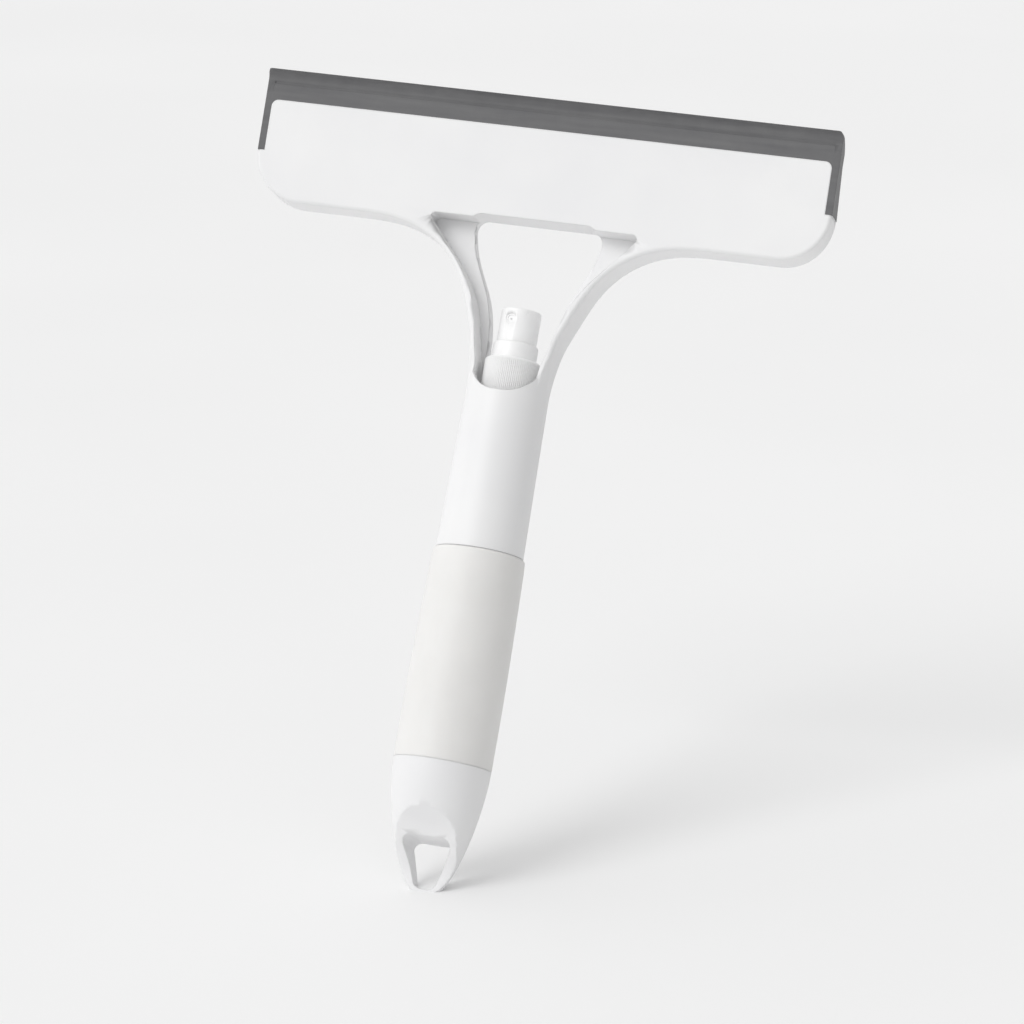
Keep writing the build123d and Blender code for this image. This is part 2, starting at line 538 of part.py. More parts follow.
def hanging_hole(y, inset):
    """Rounded triangle across the loop at y, made smaller by the inset."""
    half = cap_section(HOLE_TOP)[0] - LOOP_RIM - inset
    foot = HOLE_FOOT - inset / 2
    low = HOLE_BOTTOM + inset / 3
    with BuildSketch(Plane.XZ.offset(-y)) as hole:
        with BuildLine():
            Polyline((-half, HOLE_TOP - inset), (half, HOLE_TOP - inset), (foot, low), (-foot, low),
                     close=True)
        make_face()
        fillet(hole.vertices().group_by(Axis.Y)[-1], HOLE_CORNER)
        fillet(hole.vertices().group_by(Axis.Y)[0], foot * 0.9)
    return hole.sketch


with BuildPart() as tail_cap:
    add(cap_body.part)
    with Locations((0, 0, BASE_BOTTOM - SEATED)):
        Cylinder(BASE_R + SEATED, CAP_LENGTH, align=UPWARD, mode=Mode.SUBTRACT)
    # thumb scoop, a curved cut across the front
    with BuildSketch(Plane.YZ):
        with BuildLine():
            edge, tip = (-BOTTLE_R - SCOOP_OPEN, SCOOP_TOP + SCOOP_BROW), (LOOP_FRONT, -OVER)
            curve = [(BOTTLE_R * y, SCOOP_TOP * z) for y, z in SCOOP_CURVE]
            Spline(edge, *curve, (LOOP_FRONT - LOOP_SWELL, SCOOP_TOP * 0.31), tip,
                   tangents=((1, -1.1), (0.05, -1)))
            Polyline(tip, (-THROUGH, -OVER), (-THROUGH, edge[1]), edge)
        make_face()
    extrude(amount=THROUGH, both=True, mode=Mode.SUBTRACT)
    # hanging hole, narrowing towards the back
    loft([hanging_hole(-BOTTLE_R, -HOLE_DRAFT), hanging_hole(BOTTLE_R, HOLE_DRAFT)], mode=Mode.SUBTRACT)
save("tail_cap", tail_cap.part)

# ---- pump -----------------------------------------------------------------------------------------
roof_r = TURRET_R + RUNNING
with BuildPart() as closure_collar:
    add(turned((COLLAR_BORE, COLLAR_BOTTOM), (COLLAR_R, COLLAR_BOTTOM), (COLLAR_R, COLLAR_TOP),
               (roof_r, COLLAR_TOP), (roof_r, COLLAR_TOP - COLLAR_ROOF),
               (COLLAR_BORE, COLLAR_TOP - COLLAR_ROOF)))
    top_circles = closure_collar.edges().filter_by(GeomType.CIRCLE).group_by(Axis.Z)[-1]
    rim = top_circles.sort_by(SortBy.LENGTH)[-1]
    fillet(rim, COLLAR_ROUND)
    add(thread_ridge(COLLAR_BORE, THREAD_DEPTH, THREAD_START - THREAD_PITCH / 2, inward=True))
save("closure_collar", closure_collar.part)

save("neck_gasket", ring(FLANGE_R - GASKET_INSET, HOUSING_R + GASKET_FIT, NECK_TOP, GASKET_TOP))

turret_floor = TURRET_FLANGE_TOP + FLANGE_THICK
save("pump_turret", turned(
    (STEM_R + RUNNING, HOUSING_TOP), (COLLAR_BORE - 2 * RUNNING, HOUSING_TOP),
    (COLLAR_BORE - 2 * RUNNING, TURRET_FLANGE_TOP), (TURRET_R, TURRET_FLANGE_TOP),
    (TURRET_R, TURRET_TOP - TURRET_WALL), (TURRET_R - TURRET_WALL * 0.6, TURRET_TOP),
    (TURRET_BORE, TURRET_TOP),
    (TURRET_BORE, turret_floor), (STEM_R + RUNNING, turret_floor)))

well_r = BALL_R + BALL_ROOM
save("pump_housing", turned(
    (SEAL_R + SEATED, HOUSING_TOP), (FLANGE_R, HOUSING_TOP), (FLANGE_R, GASKET_TOP),
    (HOUSING_R, GASKET_TOP),
    (HOUSING_R, BORE_FLOOR - HOUSING_FOOT), (SOCKET_R + SOCKET_FLARE, BALL_SEAT - SOCKET_NECK),
    (SOCKET_R, SOCKET_TOP - SOCKET_NECK),
    (SOCKET_R, SOCKET_BOTTOM), (TUBE_R, SOCKET_BOTTOM), (TUBE_R, SOCKET_TOP), (SEAT_HOLE, SOCKET_TOP),
    (SEAT_HOLE, BALL_SEAT), (well_r, BALL_SEAT + well_r - SEAT_HOLE), (well_r, BORE_FLOOR),
    (HOUSING_BORE, BORE_FLOOR), (HOUSING_BORE, HOUSING_TOP - SEAL_THICK),
    (SEAL_R + SEATED, HOUSING_TOP - SEAL_THICK)))

save("stem_seal", ring(SEAL_R, STEM_R + RUNNING, HOUSING_TOP - SEAL_THICK, HOUSING_TOP))
save("pump_stem", ring(STEM_R, STEM_BORE, PISTON_BOTTOM, STEM_TOP))
save("pump_piston", ring(HOUSING_BORE - RUNNING, STEM_R, PISTON_BOTTOM, PISTON_TOP))

plate_bottom, rod_bottom = PISTON_BOTTOM - PLUNGER_PLATE, BORE_FLOOR + PRESS_TRAVEL + PLUNGER_STOP
plate_r = HOUSING_BORE - PLUNGER_GAP
save("spring_plunger", turned((0, rod_bottom), (PLUNGER_R, rod_bottom), (PLUNGER_R, plate_bottom),
                              (plate_r, plate_bottom), (plate_r, PISTON_BOTTOM), (0, PISTON_BOTTOM)))

with BuildPart() as return_spring:
    coil_height = SPRING_LENGTH - 2 * SPRING_WIRE - SEATED
    coil = Helix(pitch=coil_height / SPRING_TURNS, height=coil_height, radius=SPRING_R)
    coil = coil.moved(Location((0, 0, BORE_FLOOR + SPRING_WIRE + SEATED / 2)))
    with BuildSketch(Plane(origin=coil @ 0, z_dir=coil % 0)):
        Circle(SPRING_WIRE)
    sweep(path=coil, is_frenet=True)
save("return_spring", return_spring.part)

with BuildPart() as inlet_ball:
    with Locations((0, 0, BALL_SEAT + BALL_R * sqrt(2) - SEAT_HOLE + BALL_GAP)):
        Sphere(BALL_R)
save("inlet_ball", inlet_ball.part)

save("dip_tube", ring(TUBE_R, TUBE_BORE, TUBE_BOTTOM, SOCKET_TOP))

# ---- button and its nozzle ------------------------------------------------------------------------
yaw = radians(NOZZLE_YAW)
nozzle_plane = Plane(origin=(0, 0, NOZZLE_Z), x_dir=(cos(yaw), sin(yaw), 0),
                     z_dir=(sin(yaw), -cos(yaw), 0))
nozzle_floor = BUTTON_R - NOZZLE_DEEP
with BuildPart() as actuator_button:
    with Locations((0, 0, BUTTON_SKIRT)):
        Cylinder(BUTTON_R, BUTTON_HEIGHT, align=UPWARD)
        fillet(actuator_button.edges().group_by(Axis.Z)[-1], BUTTON_WALL * 0.8)
    with BuildSketch(Plane.XY.offset(BUTTON_SKIRT)):
        Circle(BUTTON_R - BUTTON_WALL)
        Circle(BUTTON_POST, mode=Mode.SUBTRACT)
    extrude(amount=BUTTON_HEIGHT - BUTTON_ROOF, mode=Mode.SUBTRACT)
    with BuildSketch(Plane.XY.offset(BUTTON_SKIRT)):
        Circle(BUTTON_POST)
    extrude(amount=SKIRT_OVERLAP, mode=Mode.SUBTRACT)
    with Locations((0, 0, BUTTON_SKIRT)):
        Cylinder(STEM_R + RUNNING, STEM_TOP + STEM_SPARE - BUTTON_SKIRT, align=UPWARD, mode=Mode.SUBTRACT)
    # boss behind the nozzle, its bore and the spray channel
    with BuildSketch(nozzle_plane.offset(BUTTON_POST - ROOT)):
        Circle(NOZZLE_R + NOZZLE_WALL)
    extrude(amount=BUTTON_R - BUTTON_POST + ROOT - BOSS_SHY)
    with BuildSketch(nozzle_plane.offset(nozzle_floor)):
        Circle(NOZZLE_R)
    extrude(amount=NOZZLE_DEEP + OVER, mode=Mode.SUBTRACT)
    with BuildSketch(nozzle_plane):
        with Locations((0, STEM_TOP - CHANNEL_DROP - NOZZLE_Z)):
            Circle(CHANNEL_R)
    extrude(amount=nozzle_floor + RUNNING, mode=Mode.SUBTRACT)
save("actuator_button", actuator_button.part)

with BuildPart() as nozzle_insert:
    with BuildSketch(nozzle_plane.offset(nozzle_floor)):
        Circle(NOZZLE_R)
    extrude(amount=NOZZLE_DEEP - NOZZLE_SHY)
    with BuildSketch(nozzle_plane.offset(BUTTON_R - NOZZLE_SHY - DISH_DEPTH)):
        Circle(NOZZLE_R - DISH_RIM)
        Circle(PIP_R, mode=Mode.SUBTRACT)
    extrude(amount=DISH_DEPTH + OVER, mode=Mode.SUBTRACT)
    with BuildSketch(nozzle_plane.offset(nozzle_floor)):
        Circle(SPRAY_R)
    extrude(amount=NOZZLE_DEEP, mode=Mode.SUBTRACT)
save("nozzle_insert", nozzle_insert.part)
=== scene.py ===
"""Looks of the window squeegee with a spray bottle in its handle.

The CAD frame gives every size and place. All lengths here are in metres, in the same frame: +Z runs
up the handle to the wiping edge, and the wiping side faces -Y.
"""
import json
import math

import bmesh
import bpy
from mathutils import Matrix, Vector


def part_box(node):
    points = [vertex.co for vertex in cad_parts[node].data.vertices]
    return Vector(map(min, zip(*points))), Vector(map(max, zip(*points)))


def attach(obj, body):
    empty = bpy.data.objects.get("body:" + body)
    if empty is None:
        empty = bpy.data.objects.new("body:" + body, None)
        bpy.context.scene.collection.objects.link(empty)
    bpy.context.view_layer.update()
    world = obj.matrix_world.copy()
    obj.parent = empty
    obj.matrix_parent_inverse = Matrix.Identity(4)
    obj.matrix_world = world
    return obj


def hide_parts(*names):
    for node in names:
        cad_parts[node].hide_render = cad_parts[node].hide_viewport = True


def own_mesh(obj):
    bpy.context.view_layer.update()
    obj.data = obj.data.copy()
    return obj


MM = 0.001

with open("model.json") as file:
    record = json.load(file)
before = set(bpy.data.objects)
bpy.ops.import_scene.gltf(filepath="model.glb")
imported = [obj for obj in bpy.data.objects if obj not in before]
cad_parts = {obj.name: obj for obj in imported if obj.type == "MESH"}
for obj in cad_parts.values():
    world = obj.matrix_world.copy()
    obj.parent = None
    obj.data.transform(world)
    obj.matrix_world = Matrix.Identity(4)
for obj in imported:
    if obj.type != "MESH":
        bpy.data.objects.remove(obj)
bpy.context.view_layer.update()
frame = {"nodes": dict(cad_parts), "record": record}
nodes = frame["nodes"]
scene = bpy.context.scene


# ---- node helpers ---------------------------------------------------------------------------------
def linear(hex_colour, alpha=1.0):
    """An sRGB hex colour as the linear RGBA that sockets take."""
    def channel(value):
        return value / 12.92 if value <= 0.04045 else ((value + 0.055) / 1.055) ** 2.4
    parts = [int(hex_colour[k:k + 2], 16) / 255 for k in (1, 3, 5)]
    return (*[channel(part) for part in parts], alpha)


def add(tree, kind, settings=None, **inputs):
    """Adds a node. An input is a plain value, or another node's output socket."""
    node = tree.nodes.new(kind)
    for name, value in (settings or {}).items():
        setattr(node, name, value)
    for name, value in inputs.items():
        index = int(name[1:]) if name[0] == "_" else name.replace("_", " ")
        socket = node.inputs[index]
        if isinstance(value, bpy.types.NodeSocket):
            tree.links.new(value, socket)
        else:
            socket.default_value = value
    return node


def begin_material(name):
    material = bpy.data.materials.new(name)
    material.use_nodes = True
    tree = material.node_tree
    tree.nodes.clear()
    place = add(tree, "ShaderNodeTexCoord").outputs["Object"]
    return material, tree, place


def close_material(tree, shader):
    add(tree, "ShaderNodeOutputMaterial", Surface=shader.outputs[0])


def noise(tree, place, size, detail=3.0, stretch=(1, 1, 1)):
    """Noise whose grains are about the given size in metres, longer along an axis with stretch over 1."""
    scaled = add(tree, "ShaderNodeMapping", Vector=place, Scale=tuple(1 / (size * s) for s in stretch))
    return add(tree, "ShaderNodeTexNoise", Vector=scaled.outputs[0], Scale=1.0, Detail=detail)


def spread(tree, value, low, high):
    """Noise output remapped to the given range."""
    return add(tree, "ShaderNodeMapRange", Value=value, From_Min=0.3, From_Max=0.7,
               To_Min=low, To_Max=high).outputs[0]


def tint(tree, factor, dark, light):
    mix = add(tree, "ShaderNodeMix", {"data_type": "RGBA"}, Factor=factor)
    mix.inputs[6].default_value = linear(dark)
    mix.inputs[7].default_value = linear(light)
    return mix.outputs[2]


def soft_edges(tree, radius):
    """A normal that rounds sharp edges by the given radius in metres, as a mould leaves them."""
    return add(tree, "ShaderNodeBevel", {"samples": 4}, Radius=radius).outputs[0]


def bump(tree, height, depth, strength=1.0, below=None):
    """Relief of the given depth in metres; below is the normal of a coarser relief."""
    node = add(tree, "ShaderNodeBump", Strength=strength, Distance=depth, Height=height)
    if below is not None:
        tree.links.new(below, node.inputs["Normal"])
    return node.outputs[0]


# ---- materials ------------------------------------------------------------------------------------
def satin_abs():
    """Injection moulded ABS with a fine spark-eroded mould grain: white, satin, slightly soft in light."""
    material, tree, place = begin_material("satin_white_abs")
    cloud = noise(tree, place, 45 * MM, detail=2.0).outputs[0]
    grain = noise(tree, place, 0.7 * MM, detail=2.0).outputs[0]
    flow = noise(tree, place, 14 * MM, detail=4.0, stretch=(1, 1, 3)).outputs[0]
    normal = bump(tree, grain, 0.02 * MM, 0.35, below=soft_edges(tree, 0.9 * MM))
    shader = add(tree, "ShaderNodeBsdfPrincipled",
                 Base_Color=tint(tree, spread(tree, cloud, 0, 1), "#E8E8E9", "#EDEDED"),
                 Roughness=spread(tree, flow, 0.40, 0.50), IOR=1.54, Normal=normal,
                 Subsurface_Weight=0.08, Subsurface_Radius=(1, 1, 1), Subsurface_Scale=0.8 * MM)
    close_material(tree, shader)
    return material


def pump_polypropylene():
    """Thin-walled injection moulded polypropylene: whiter than the ABS and smoother."""
    material, tree, place = begin_material("smooth_white_polypropylene")
    cloud = noise(tree, place, 6 * MM, detail=3.0).outputs[0]
    grain = noise(tree, place, 0.5 * MM, detail=2.0).outputs[0]
    shader = add(tree, "ShaderNodeBsdfPrincipled",
                 Base_Color=tint(tree, spread(tree, cloud, 0, 1), "#F3F3F3", "#F8F8F8"),
                 Roughness=spread(tree, cloud, 0.27, 0.36), IOR=1.49,
                 Normal=bump(tree, grain, 0.01 * MM, 0.3, below=soft_edges(tree, 0.25 * MM)),
                 Subsurface_Weight=0.15, Subsurface_Radius=(1, 1, 1), Subsurface_Scale=1.2 * MM)
    close_material(tree, shader)
    return material


def frosted_bottle():
    """Blow moulded natural polypropylene: milky and frosted, with faint draw lines along the grip."""
    material, tree, place = begin_material("frosted_polypropylene")
    cloud = noise(tree, place, 30 * MM, detail=3.0).outputs[0]
    draw = noise(tree, place, 2.2 * MM, detail=3.0, stretch=(1, 1, 18)).outputs[0]
    grain = noise(tree, place, 0.6 * MM, detail=2.0).outputs[0]
    lines = bump(tree, draw, 0.05 * MM, 0.35, below=soft_edges(tree, 0.4 * MM))
    shader = add(tree, "ShaderNodeBsdfPrincipled",
                 Base_Color=tint(tree, spread(tree, cloud, 0, 1), "#E9E8E6", "#EEEDEB"),
                 Roughness=spread(tree, draw, 0.44, 0.56), IOR=1.49,
                 Normal=bump(tree, grain, 0.02 * MM, 0.3, below=lines),
                 Transmission_Weight=0.04,
                 Subsurface_Weight=0.35, Subsurface_Radius=(1, 0.98, 0.95), Subsurface_Scale=2 * MM)
    close_material(tree, shader)
    return material


def moulded_rubber():
    """Moulded thermoplastic rubber: mid grey, matte, with long flow marks and dust in the grain."""
    material, tree, place = begin_material("grey_thermoplastic_rubber")
    flow = noise(tree, place, 3 * MM, detail=4.0, stretch=(14, 1, 1)).outputs[0]
    grain = noise(tree, place, 0.45 * MM, detail=3.0).outputs[0]
    dust = noise(tree, place, 9 * MM, detail=5.0).outputs[0]
    mottled = tint(tree, spread(tree, flow, 0, 1), "#58585A", "#646465")
    pale = add(tree, "ShaderNodeMix", {"data_type": "RGBA"}, Factor=spread(tree, dust, 0, 0.16))
    tree.links.new(mottled, pale.inputs[6])
    pale.inputs[7].default_value = linear("#8B8B8B")
    relief = bump(tree, flow, 0.06 * MM, 0.4, below=soft_edges(tree, 0.3 * MM))
    shader = add(tree, "ShaderNodeBsdfPrincipled", Base_Color=pale.outputs[2],
                 Roughness=spread(tree, dust, 0.50, 0.64), IOR=1.5,
                 Normal=bump(tree, grain, 0.03 * MM, 0.5, below=relief),
                 Sheen_Weight=0.15, Sheen_Roughness=0.5)
    close_material(tree, shader)
    return material


def seal_rubber():
    """Soft moulded seal rubber: pale, matte and a little waxy."""
    material, tree, place = begin_material("pale_seal_rubber")
    cloud = noise(tree, place, 3 * MM).outputs[0]
    grain = noise(tree, place, 0.3 * MM).outputs[0]
    shader = add(tree, "ShaderNodeBsdfPrincipled",
                 Base_Color=tint(tree, spread(tree, cloud, 0, 1), "#B9B9B4", "#C6C6C2"),
                 Roughness=spread(tree, cloud, 0.55, 0.68), IOR=1.45,
                 Normal=bump(tree, grain, 0.02 * MM, 0.4),
                 Subsurface_Weight=0.2, Subsurface_Radius=(1, 1, 1), Subsurface_Scale=0.8 * MM)
    close_material(tree, shader)
    return material


def natural_polyethylene():
    """Inner pump parts in natural polyethylene: milky, waxy and half clear."""
    material, tree, place = begin_material("natural_polyethylene")
    cloud = noise(tree, place, 4 * MM).outputs[0]
    shader = add(tree, "ShaderNodeBsdfPrincipled",
                 Base_Color=tint(tree, spread(tree, cloud, 0, 1), "#DDE0E0", "#E8EAEA"),
                 Roughness=spread(tree, cloud, 0.32, 0.42), IOR=1.52,
                 Normal=bump(tree, cloud, 0.02 * MM, 0.3), Transmission_Weight=0.3,
                 Subsurface_Weight=0.4, Subsurface_Radius=(1, 1, 1), Subsurface_Scale=1.5 * MM)
    close_material(tree, shader)
    return material


def tube_polyethylene():
    """Extruded clear polyethylene tube, with draw lines along it."""
    material, tree, place = begin_material("clear_polyethylene_tube")
    draw = noise(tree, place, 0.5 * MM, stretch=(1, 1, 40)).outputs[0]
    shader = add(tree, "ShaderNodeBsdfPrincipled",
                 Base_Color=tint(tree, spread(tree, draw, 0, 1), "#E2E6E6", "#EEF1F1"),
                 Roughness=spread(tree, draw, 0.22, 0.32), IOR=1.51,
                 Normal=bump(tree, draw, 0.02 * MM, 0.3), Transmission_Weight=0.7)
    close_material(tree, shader)
    return material


def drawn_wire():
    """Drawn stainless spring wire: bright, with fine scratches from the die."""
    material, tree, place = begin_material("drawn_stainless_wire")
    scratch = noise(tree, place, 0.25 * MM, detail=4.0, stretch=(6, 6, 1)).outputs[0]
    shader = add(tree, "ShaderNodeBsdfPrincipled", Metallic=1.0,
                 Base_Color=tint(tree, spread(tree, scratch, 0, 1), "#A9AAAB", "#C4C5C6"),
                 Roughness=spread(tree, scratch, 0.20, 0.34),
                 Normal=bump(tree, scratch, 0.01 * MM, 0.4))
    close_material(tree, shader)
    return material


def polished_ball():
    """Lapped stainless ball: mirror bright, with a trace of haze."""
    material, tree, place = begin_material("lapped_stainless_steel")
    haze = noise(tree, place, 0.6 * MM).outputs[0]
    shader = add(tree, "ShaderNodeBsdfPrincipled", Metallic=1.0,
                 Base_Color=tint(tree, spread(tree, haze, 0, 1), "#C2C2C4", "#CFCFD0"),
                 Roughness=spread(tree, haze, 0.06, 0.12))
    close_material(tree, shader)
    return material


finishes = {
    "white_plastic": satin_abs(),
    "grey_rubber": moulded_rubber(),
    "frosted_bottle": frosted_bottle(),
    "pump_plastic": pump_polypropylene(),
    "pump_inner": natural_polyethylene(),
    "seal_rubber": seal_rubber(),
    "spring_steel": drawn_wire(),
    "ball_steel": polished_ball(),
    "clear_tube": tube_polyethylene(),
}


def finish_piece(piece, slot):
    piece.data.materials.clear()
    piece.data.materials.append(finishes[slot])


slots = {part["node"]: part["material_slot"] for part in frame["record"]["subparts"]}
for node_name, slot_name in slots.items():
    finish_piece(nodes[node_name], slot_name)


# ---- pieces ---------------------------------------------------------------------------------------
WELD = 0.002 * MM                       # triangles' corners closer than this are one
CREASE = math.radians(32)               # edges sharper than this stay sharp
FLAT = math.radians(0.3)                # triangles that turn less than this are one flat face
FACE_WEIGHT = 60                        # how strongly large faces set the normals at their corners


def body_name(node_name):
    """The body that a CAD node moves with."""
    bodies = frame["record"]["behaviour"]["bodies"]
    return next(name for name, pieces in bodies.items() if node_name in pieces)


def put_in_place(name, mesh, replaced):
    """A finished piece from a mesh in the row frame, that stands for one CAD node."""
    piece = bpy.data.objects.new(name, mesh)
    scene.collection.objects.link(piece)
    finish_piece(piece, slots[replaced])
    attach(piece, body_name(replaced))
    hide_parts(replaced)
    return piece


def shade_softly(mesh):
    mesh.polygons.foreach_set("use_smooth", [True] * len(mesh.polygons))
    mesh.set_sharp_from_angle(angle=CREASE)


def smooth_skin(node_name):
    """The node's own shape with its triangles joined, so that its curved faces shade without facets."""
    mesh = nodes[node_name].data.copy()
    work = bmesh.new()
    work.from_mesh(mesh)
    bmesh.ops.remove_doubles(work, verts=work.verts, dist=WELD)
    bmesh.ops.dissolve_degenerate(work, edges=work.edges, dist=WELD)
    bmesh.ops.dissolve_limit(work, angle_limit=FLAT, verts=work.verts, edges=work.edges)
    bmesh.ops.recalc_face_normals(work, faces=work.faces)
    work.to_mesh(mesh)
    work.free()
    shade_softly(mesh)
    piece = put_in_place(node_name + "_skin", mesh, node_name)
    evener = piece.modifiers.new("even_normals", "WEIGHTED_NORMAL")
    evener.keep_sharp = True
    evener.weight = FACE_WEIGHT


for node_name in ("head_frame", "wiper_blade", "bottle", "tail_cap", "pump_turret", "actuator_button",
                  "nozzle_insert"):
    smooth_skin(node_name)


def geometry_tree(name, **inputs):
    """An empty geometry node tree with the given number inputs and one geometry output."""
    tree = bpy.data.node_groups.new(name, "GeometryNodeTree")
    sockets = {}
    for label, value in inputs.items():
        kind = "NodeSocketInt" if isinstance(value, int) else "NodeSocketFloat"
        sockets[label] = (tree.interface.new_socket(label, in_out="INPUT", socket_type=kind), value)
    tree.interface.new_socket("geometry", in_out="OUTPUT", socket_type="NodeSocketGeometry")
    entry = tree.nodes.new("NodeGroupInput")
    return tree, sockets, entry.outputs


def grown_mesh(tree, sockets, geometry, material):
    """Ends the tree in real geometry with its material, runs it on its inputs and returns the mesh."""
    real = add(tree, "GeometryNodeRealizeInstances", Geometry=geometry)
    dressed = add(tree, "GeometryNodeSetMaterial", Geometry=real.outputs[0], Material=material)
    add(tree, "NodeGroupOutput", geometry=dressed.outputs[0])
    carrier = bpy.data.objects.new(tree.name, bpy.data.meshes.new(tree.name))
    scene.collection.objects.link(carrier)
    modifier = carrier.modifiers.new("grow", "NODES")
    modifier.node_group = tree
    for socket, value in sockets.values():
        modifier[socket.identifier] = value
    shown = carrier.evaluated_get(bpy.context.evaluated_depsgraph_get())
    mesh = bpy.data.meshes.new_from_object(shown)
    carrier.modifiers.remove(modifier)
    bpy.data.objects.remove(carrier)
    return mesh


def turned_mesh(name, outline, steps):
    """A closed body of revolution about the handle's axis, from its (radius, height) outline."""
    work = bmesh.new()
    rings = []
    for k in range(steps):
        turn = 2 * math.pi * k / steps
        rings.append([work.verts.new((r * math.cos(turn), r * math.sin(turn), z)) for r, z in outline])
    for k in range(steps):
        here, there = rings[k], rings[(k + 1) % steps]
        for j in range(len(outline)):
            n = (j + 1) % len(outline)
            work.faces.new((here[j], there[j], there[n], here[n]))
    bmesh.ops.recalc_face_normals(work, faces=work.faces)
    mesh = bpy.data.meshes.new(name)
    work.to_mesh(mesh)
    work.free()
    return mesh


# screw collar: a plain cap with fine upright ribs all round
RIB_COUNT, RIB_RADIUS = 90, 0.34 * MM
RIB_SINK = 0.12 * MM                    # the ribs' middles inside the cap's wall
RIB_SIDES = 10
RIB_MARGIN = 0.5 * MM                   # plain skirt below the ribs
COLLAR_WALL, COLLAR_ROOF, COLLAR_ROUND = 1.3 * MM, 1.4 * MM, 1.0 * MM
SKIRT_ROUND = 0.2 * MM                  # lower outer edge
ROOF_INSET = 0.4 * MM                   # the roof's opening inside the pump turret's flange
ROUND_STEPS = 6


def knurled_collar():
    low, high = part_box("closure_collar")
    top, bottom, outer = high[2], low[2], high[0]
    core = outer - RIB_RADIUS + RIB_SINK
    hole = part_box("pump_turret")[1][0]
    opening = min(hole, core - COLLAR_WALL) - ROOF_INSET
    bend = [(core - COLLAR_ROUND * (1 - math.cos(a)), top - COLLAR_ROUND * (1 - math.sin(a)))
            for a in [math.radians(90 / ROUND_STEPS * k) for k in range(ROUND_STEPS + 1)]]
    outline = [(core - COLLAR_WALL, bottom), (core - SKIRT_ROUND, bottom), (core, bottom + SKIRT_ROUND),
               *bend,
               (opening, top), (opening, top - COLLAR_ROOF), (core - COLLAR_WALL, top - COLLAR_ROOF)]
    cap = turned_mesh("closure_collar_cap", outline, 2 * RIB_COUNT)
    tree, sockets, values = geometry_tree("collar_ribs", rib_count=RIB_COUNT, pitch_radius=core - RIB_SINK,
                                          rib_radius=RIB_RADIUS,
                                          rib_length=top - bottom - COLLAR_ROUND - RIB_MARGIN,
                                          rib_middle=(top - COLLAR_ROUND + bottom + RIB_MARGIN) / 2)
    ring = add(tree, "GeometryNodeMeshCircle", Vertices=values["rib_count"], Radius=values["pitch_radius"])
    rib = add(tree, "GeometryNodeMeshCylinder", Vertices=RIB_SIDES, Radius=values["rib_radius"],
              Depth=values["rib_length"])
    lift = add(tree, "ShaderNodeCombineXYZ", Z=values["rib_middle"])
    raised = add(tree, "GeometryNodeTransform", Geometry=rib.outputs[0], Translation=lift.outputs[0])
    ribs = add(tree, "GeometryNodeInstanceOnPoints", Points=ring.outputs[0], Instance=raised.outputs[0])
    grown = grown_mesh(tree, sockets, ribs.outputs[0], finishes[slots["closure_collar"]])
    work = bmesh.new()
    work.from_mesh(cap)
    work.from_mesh(grown)
    work.to_mesh(cap)
    work.free()
    shade_softly(cap)
    put_in_place("knurled_collar", cap, "closure_collar")


knurled_collar()

# return spring: closed end coils and open working coils of one wire
WIRE_RADIUS, WIRE_SIDES = 0.35 * MM, 10
OPEN_TURNS, TURN_STEPS = 6, 36
CLOSED_PITCH = 2.04                     # pitch of the end coils, in wire radii


def coil_spring():
    low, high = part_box("return_spring")
    foot, length = low[2] + WIRE_RADIUS, high[2] - low[2] - 2 * WIRE_RADIUS
    tree, sockets, values = geometry_tree("spring_coils", coil_radius=high[0] - WIRE_RADIUS,
                                          wire_radius=WIRE_RADIUS, foot=foot, length=length,
                                          closed_pitch=CLOSED_PITCH * WIRE_RADIUS,
                                          open_turns=float(OPEN_TURNS))
    double = add(tree, "ShaderNodeMath", {"operation": "MULTIPLY"}, _0=values["closed_pitch"], _1=2.0)
    open_height = add(tree, "ShaderNodeMath", {"operation": "SUBTRACT"}, _0=values["length"],
                      _1=double.outputs[0])
    coils = []
    above = add(tree, "ShaderNodeMath", {"operation": "ADD"}, _0=values["foot"], _1=values["closed_pitch"])
    last = add(tree, "ShaderNodeMath", {"operation": "ADD"}, _0=above.outputs[0], _1=open_height.outputs[0])
    stretches = ((1.0, values["closed_pitch"], values["foot"]),
                 (values["open_turns"], open_height.outputs[0], above.outputs[0]),
                 (1.0, values["closed_pitch"], last.outputs[0]))
    for turns, height, start in stretches:
        spiral = add(tree, "GeometryNodeCurveSpiral", Resolution=TURN_STEPS, Rotations=turns, Height=height,
                     Start_Radius=values["coil_radius"], End_Radius=values["coil_radius"])
        lift = add(tree, "ShaderNodeCombineXYZ", Z=start)
        coils.append(add(tree, "GeometryNodeTransform", Geometry=spiral.outputs[0],
                         Translation=lift.outputs[0]).outputs[0])
    joined = add(tree, "GeometryNodeJoinGeometry")
    for coil in coils:
        tree.links.new(coil, joined.inputs[0])
    profile = add(tree, "GeometryNodeCurvePrimitiveCircle", Resolution=WIRE_SIDES,
                  Radius=values["wire_radius"])
    wire = add(tree, "GeometryNodeCurveToMesh", Curve=joined.outputs[0], Profile_Curve=profile.outputs[0],
               Fill_Caps=True)
    mesh = grown_mesh(tree, sockets, wire.outputs[0], finishes[slots["return_spring"]])
    shade_softly(mesh)
    piece = put_in_place("coil_spring", mesh, "return_spring")
    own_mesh(piece)


coil_spring()


# ---- camera ---------------------------------------------------------------------------------------
CAMERA_AROUND = math.radians(15.0)      # turned this far to the front's right
CAMERA_RISE = math.radians(-8.5)        # above the plane square to the handle
CAMERA_ROLL = math.radians(9.98)
CAMERA_DISTANCE = 2.0
CAMERA_LENS, SENSOR = 169.4, 36.0
AIM_RIGHT, AIM_UP = math.radians(0.3536), math.radians(-0.3169)
CAMERA_TARGET = Vector((0, 0, 0.15))    # on the handle's axis


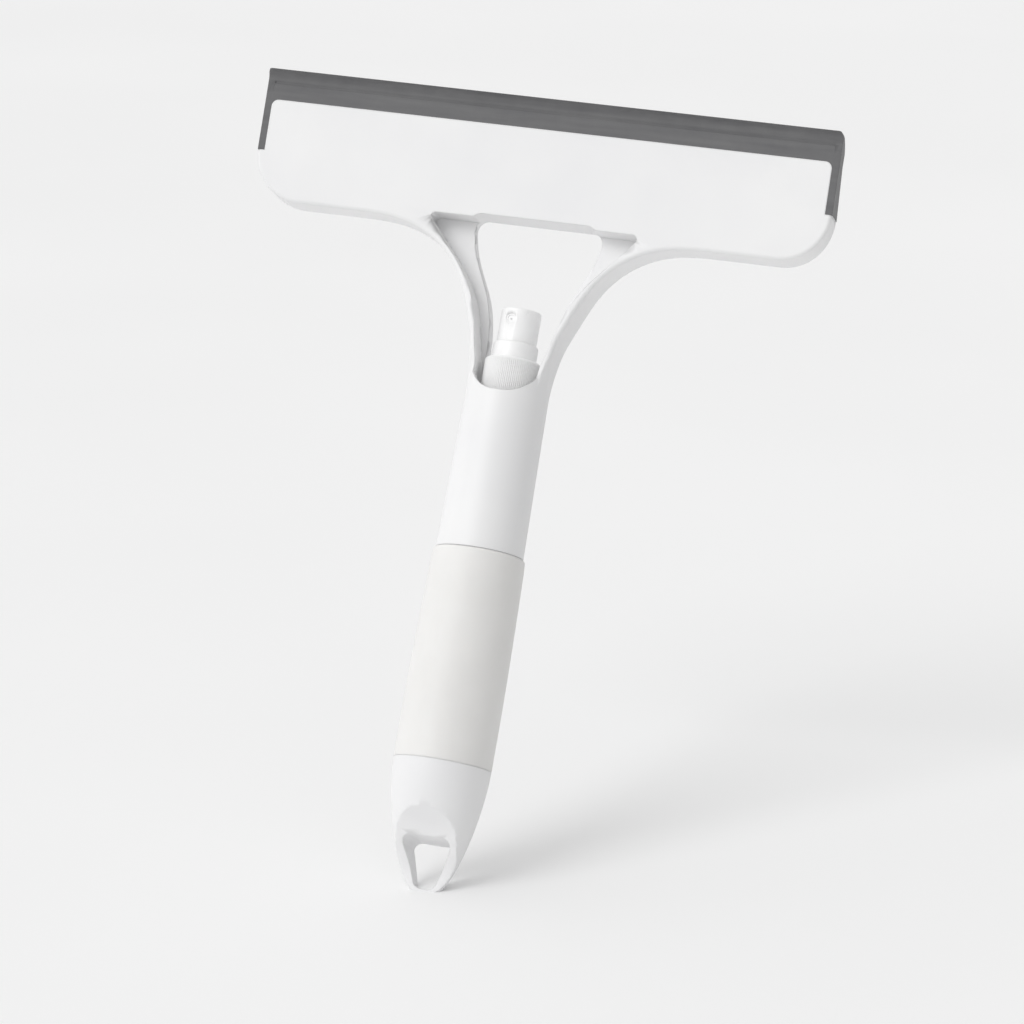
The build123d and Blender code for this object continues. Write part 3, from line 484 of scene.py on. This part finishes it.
def camera_axes():
    """Right, up and back directions of the camera."""
    back = Vector((math.sin(CAMERA_AROUND) * math.cos(CAMERA_RISE),
                   -math.cos(CAMERA_AROUND) * math.cos(CAMERA_RISE), math.sin(CAMERA_RISE)))
    right = Vector((0, 0, 1)).cross(back).normalized()
    up = back.cross(right)
    roll = Matrix.Rotation(CAMERA_ROLL, 3, back)
    return roll @ right, roll @ up, back


def make_camera():
    right, up, back = camera_axes()
    place = CAMERA_TARGET + back * CAMERA_DISTANCE
    turn = Matrix.Rotation(-AIM_RIGHT, 3, up) @ Matrix.Rotation(-AIM_UP, 3, right)
    axes = [turn @ axis for axis in (right, up, back)]
    data = bpy.data.cameras.new("camera")
    data.lens, data.sensor_width = CAMERA_LENS, SENSOR
    camera = bpy.data.objects.new("camera", data)
    scene.collection.objects.link(camera)
    camera.matrix_world = Matrix.Translation(place) @ Matrix(axes).transposed().to_4x4()
    scene.camera = camera


make_camera()

# ---- floor, backdrop and lights --------------------------------------------------------------------
FLOOR_TILT = math.radians(15.0)         # the camera's height over the floor, seen from the tip
FLOOR_HALF = 6.0


def make_floor():
    right, up, back = camera_axes()
    floor_up = up * math.cos(FLOOR_TILT) + back * math.sin(FLOOR_TILT)
    away = floor_up.cross(right)
    mesh = bpy.data.meshes.new("studio_floor")
    signs = ((-1, -1), (1, -1), (1, 1), (-1, 1))
    corners = [right * a * FLOOR_HALF + away * b * FLOOR_HALF for a, b in signs]
    mesh.from_pydata(corners, [], [(0, 1, 2, 3)])
    floor = bpy.data.objects.new("studio_floor", mesh)
    scene.collection.objects.link(floor)
    material, tree, place = begin_material("matte_studio_paper")
    cloud = noise(tree, place, 400 * MM, detail=2.0).outputs[0]
    shader = add(tree, "ShaderNodeBsdfPrincipled", Roughness=0.9, Specular_IOR_Level=0.1,
                 Base_Color=tint(tree, spread(tree, cloud, 0, 1), "#F7F7F7", "#F9F9F9"))
    close_material(tree, shader)
    mesh.materials.append(material)


FILL = 0.62                             # even part of the surroundings' light
FILL_RIGHT, FILL_UP, FILL_BACK = -0.34, 0.20, 0.02    # how it leans: darker on the right, lighter above


def make_backdrop():
    """Pale studio surroundings, a little brighter above and darker on the right."""
    world = bpy.data.worlds.new("studio")
    scene.world = world
    world.use_nodes = True
    tree = world.node_tree
    tree.nodes.clear()
    right, up, back = camera_axes()
    lean = right * FILL_RIGHT + up * FILL_UP + back * FILL_BACK
    toward = add(tree, "ShaderNodeTexCoord").outputs["Generated"]
    leaning = add(tree, "ShaderNodeVectorMath", {"operation": "DOT_PRODUCT"}, _0=toward, _1=tuple(lean))
    level = add(tree, "ShaderNodeMath", {"operation": "ADD"}, _0=leaning.outputs["Value"], _1=FILL)
    fill = add(tree, "ShaderNodeBackground", Color=linear("#FFFFFF"), Strength=level.outputs[0])
    seen = add(tree, "ShaderNodeBackground", Color=linear("#F0F0F0"), Strength=1.0)
    rays = add(tree, "ShaderNodeLightPath")
    mix = add(tree, "ShaderNodeMixShader", Fac=rays.outputs["Is Camera Ray"],
              _1=fill.outputs[0], _2=seen.outputs[0])
    add(tree, "ShaderNodeOutputWorld", Surface=mix.outputs[0])


def make_key(across, rise, softness, strength):
    """A soft, even light from far off, placed by its angles from the camera's own axes."""
    right, up, back = camera_axes()
    toward = (right * math.sin(across) + back * math.cos(across)) * math.cos(rise) + up * math.sin(rise)
    data = bpy.data.lights.new("key_light", "SUN")
    data.angle, data.energy = softness, strength
    light = bpy.data.objects.new("key_light", data)
    scene.collection.objects.link(light)
    light.location = CAMERA_TARGET + toward * CAMERA_DISTANCE
    light.rotation_mode = "QUATERNION"
    light.rotation_quaternion = toward.to_track_quat("Z", "Y")


make_floor()
make_backdrop()
make_key(math.radians(-42), math.radians(32), math.radians(30), 0.85)
scene.view_settings.view_transform = "Standard"
